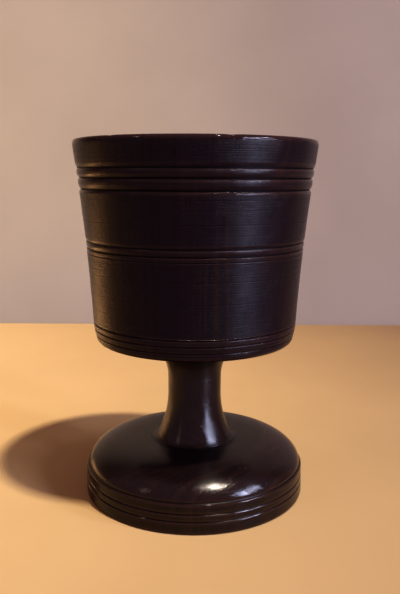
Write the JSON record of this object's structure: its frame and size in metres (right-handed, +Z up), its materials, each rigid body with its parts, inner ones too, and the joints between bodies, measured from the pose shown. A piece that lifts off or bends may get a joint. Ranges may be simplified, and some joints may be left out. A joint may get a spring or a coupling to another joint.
{
  "type": "communion chalice",
  "caption": "Small turned hardwood chalice: a deep flared cup with cut lines and beads, on a coved stem and a low domed foot.",
  "frame": {"origin": "middle of the ring that the foot stands on, at table height", "axes": "+Z up along the turning axis, through the foot, stem and cup; X and Y are level and equal, and the wedge in the lower tenon lies along Y"},
  "size_m": [0.0942, 0.0942, 0.14],
  "materials": {
    "bowl_timber": "very dark brown hardwood, fine turning lines, satin wax",
    "stem_timber": "very dark brown hardwood, waxed and polished by handling",
    "foot_timber": "very dark brown hardwood, polished wax with small scratches",
    "wedge_timber": "mid-brown hardwood, bare and sawn"
  },
  "bodies": {
    "root": {"bowl": "bowl_timber", "stem": "stem_timber", "foot": "foot_timber", "foot_wedge": "wedge_timber"}
  },
  "joints": []
}
